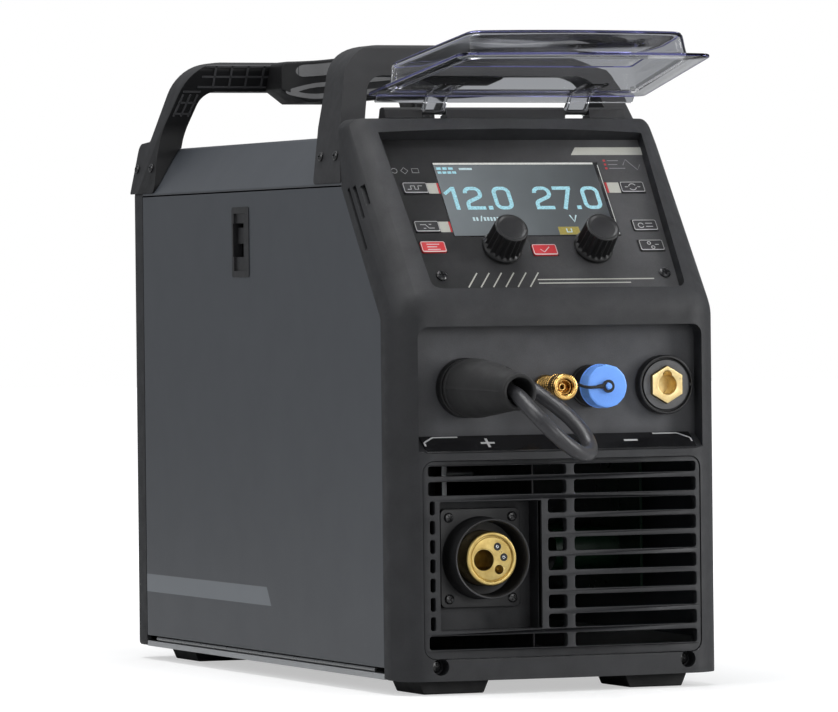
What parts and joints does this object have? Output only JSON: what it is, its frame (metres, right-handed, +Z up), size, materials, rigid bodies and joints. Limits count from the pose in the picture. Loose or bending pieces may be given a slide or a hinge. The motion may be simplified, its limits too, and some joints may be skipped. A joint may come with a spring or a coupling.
{
  "type": "tig welding machine",
  "caption": "Portable inverter welding machine with sloped control panel, clear hinged cover, wire-feed torch socket, side door and carrying handle.",
  "frame": {"origin": "centre of the feet's footprint on the floor, without the polarity lead and its plug", "axes": "+Z up, the controls and sockets face -Y, +X to the right as seen from the front"},
  "size_m": [0.2387, 0.6569, 0.445],
  "materials": {
    "blue_grey_paint": "semi-gloss fine powder coat, dark blue grey",
    "black_moulding": "matt black moulded plastic with a fine spark texture",
    "satin_black": "satin black plastic",
    "black_rubber": "matt black rubber",
    "zinc_sheet": "zinc plated sheet steel",
    "dark_steel": "machined steel",
    "brass": "turned brass with tool rings",
    "blue_cap": "blue moulded plastic",
    "red_key": "red moulded plastic",
    "clear_cover": "clear moulded polycarbonate",
    "display_glass": "glossy dark display window with a grey field",
    "board_green": "green printed circuit laminate"
  },
  "bodies": {
    "enclosure": {"base_chassis": "zinc_sheet", "foot_front_left": "black_rubber", "foot_front_right": "black_rubber", "foot_rear_left": "black_rubber", "foot_rear_right": "black_rubber", "centre_divider": "zinc_sheet", "top_cover": "blue_grey_paint", "right_side_panel": "blue_grey_paint", "front_bezel": "black_moulding", "front_grille": "black_moulding", "rear_bezel": "black_moulding", "door_hinge_pin": "dark_steel", "front_hoop": "black_moulding", "rear_hoop": "black_moulding", "centre_grip": "black_moulding", "hinge_bar": "satin_black", "control_overlay": "satin_black", "display_module": "display_glass", "control_board": "board_green", "polarity_strip": "satin_black", "negative_socket": "satin_black", "negative_socket_brass": "brass", "positive_socket": "satin_black", "polarity_plug": "black_rubber", "polarity_cable": "black_rubber", "cable_gland": "satin_black", "gas_coupler": "brass", "control_socket": "satin_black", "cap_strap": "black_rubber", "torch_flange": "satin_black", "torch_brass": "brass", "feeder_plate": "zinc_sheet", "feed_motor": "dark_steel", "power_board": "board_green", "transformer": "dark_steel", "fan_frame": "satin_black", "mains_gland": "satin_black", "gas_inlet": "brass"},
    "door": {"wire_door": "blue_grey_paint", "door_latch_frame": "satin_black"},
    "door_latch": {"door_latch_slider": "satin_black"},
    "cover": {"clear_cover": "clear_cover"},
    "left_knob": {"knob_left": "satin_black"},
    "right_knob": {"knob_right": "satin_black"},
    "mode_key": {"key_mode": "satin_black"},
    "trigger_key": {"key_trigger": "satin_black"},
    "save_key": {"key_save": "red_key"},
    "set_key": {"key_set": "red_key"},
    "sync_key": {"key_sync": "satin_black"},
    "gas_key": {"key_gas": "satin_black"},
    "purge_key": {"key_purge": "satin_black"},
    "gas_sleeve": {"gas_coupler_sleeve": "brass"},
    "socket_cap": {"control_socket_cap": "blue_cap"},
    "feed_roll": {"drive_roll": "dark_steel"},
    "roll_arm": {"pressure_arm": "dark_steel"},
    "idle_roll": {"pressure_roll": "dark_steel"},
    "tension": {"tension_lever": "satin_black"},
    "spool_spindle": {"spool_hub": "satin_black"},
    "fan": {"fan_rotor": "satin_black"},
    "mains_rocker": {"rear_switch": "red_key"}
  },
  "joints": [
    {"name": "door_hinge", "type": "hinge", "parent": "enclosure", "child": "door", "pos_m": [-0.1171, 0.01607, 0.0159], "axis": [0, -1, 0], "range_deg": [0, 90]},
    {"name": "latch_slide", "type": "slide", "parent": "door", "child": "door_latch", "axis": [0, 0, -1], "range_m": [0, 0.008], "stiffness_N_per_m": 120, "springref_m": -0.002},
    {"name": "cover_hinge", "type": "hinge", "parent": "enclosure", "child": "cover", "pos_m": [0.008, -0.14693, 0.3936], "axis": [1, 0, 0], "range_deg": [0, 61]},
    {"name": "left_knob_turn", "type": "hinge", "parent": "enclosure", "child": "left_knob", "pos_m": [-0.0274, -0.22264, 0.30238], "axis": [0, -0.788, 0.6157], "continuous": true},
    {"name": "right_knob_turn", "type": "hinge", "parent": "enclosure", "child": "right_knob", "pos_m": [0.0399, -0.22264, 0.30238], "axis": [0, -0.788, 0.6157], "continuous": true},
    {"name": "mode_key_press", "type": "slide", "parent": "enclosure", "child": "mode_key", "axis": [0, 0.788, -0.6157], "range_m": [0, 0.0005], "stiffness_N_per_m": 800, "springref_m": -0.0001},
    {"name": "trigger_key_press", "type": "slide", "parent": "enclosure", "child": "trigger_key", "axis": [0, 0.788, -0.6157], "range_m": [0, 0.0005], "stiffness_N_per_m": 800, "springref_m": -0.0001},
    {"name": "save_key_press", "type": "slide", "parent": "enclosure", "child": "save_key", "axis": [0, 0.788, -0.6157], "range_m": [0, 0.0005], "stiffness_N_per_m": 800, "springref_m": -0.0001},
    {"name": "set_key_press", "type": "slide", "parent": "enclosure", "child": "set_key", "axis": [0, 0.788, -0.6157], "range_m": [0, 0.0005], "stiffness_N_per_m": 800, "springref_m": -0.0001},
    {"name": "sync_key_press", "type": "slide", "parent": "enclosure", "child": "sync_key", "axis": [0, 0.788, -0.6157], "range_m": [0, 0.0005], "stiffness_N_per_m": 800, "springref_m": -0.0001},
    {"name": "gas_key_press", "type": "slide", "parent": "enclosure", "child": "gas_key", "axis": [0, 0.788, -0.6157], "range_m": [0, 0.0005], "stiffness_N_per_m": 800, "springref_m": -0.0001},
    {"name": "purge_key_press", "type": "slide", "parent": "enclosure", "child": "purge_key", "axis": [0, 0.788, -0.6157], "range_m": [0, 0.0005], "stiffness_N_per_m": 800, "springref_m": -0.0001},
    {"name": "gas_sleeve_pull", "type": "slide", "parent": "enclosure", "child": "gas_sleeve", "axis": [0, 1, 0], "range_m": [0, 0.003], "stiffness_N_per_m": 400, "springref_m": -0.001},
    {"name": "cap_turn", "type": "hinge", "parent": "enclosure", "child": "socket_cap", "pos_m": [0.026, -0.26393, 0.2055], "axis": [0, -1, 0], "range_deg": [0, 60]},
    {"name": "feed_roll_spin", "type": "hinge", "parent": "enclosure", "child": "feed_roll", "pos_m": [-0.0546, -0.08393, 0.0754], "axis": [1, 0, 0], "continuous": true},
    {"name": "roll_arm_lift", "type": "hinge", "parent": "enclosure", "child": "roll_arm", "pos_m": [-0.045, -0.04793, 0.112], "axis": [-1, 0, 0], "range_deg": [0, 40]},
    {"name": "idle_roll_spin", "type": "hinge", "parent": "roll_arm", "child": "idle_roll", "pos_m": [-0.0546, -0.08393, 0.1036], "axis": [1, 0, 0], "continuous": true},
    {"name": "tension_swing", "type": "hinge", "parent": "enclosure", "child": "tension", "pos_m": [-0.0438, -0.11193, 0.072], "axis": [1, 0, 0], "range_deg": [0, 40]},
    {"name": "spool_spin", "type": "hinge", "parent": "enclosure", "child": "spool_spindle", "pos_m": [-0.04, 0.10607, 0.19], "axis": [1, 0, 0], "continuous": true},
    {"name": "fan_spin", "type": "hinge", "parent": "enclosure", "child": "fan", "pos_m": [0.048, 0.26457, 0.12], "axis": [0, 1, 0], "continuous": true},
    {"name": "mains_rocker_tilt", "type": "hinge", "parent": "enclosure", "child": "mains_rocker", "pos_m": [-0.055, 0.27907, 0.275], "axis": [1, 0, 0], "range_deg": [0, 12]}
  ],
  "couplings": [
    {"joint": "idle_roll_spin", "follows": "feed_roll_spin", "ratio": -1.25}
  ]
}
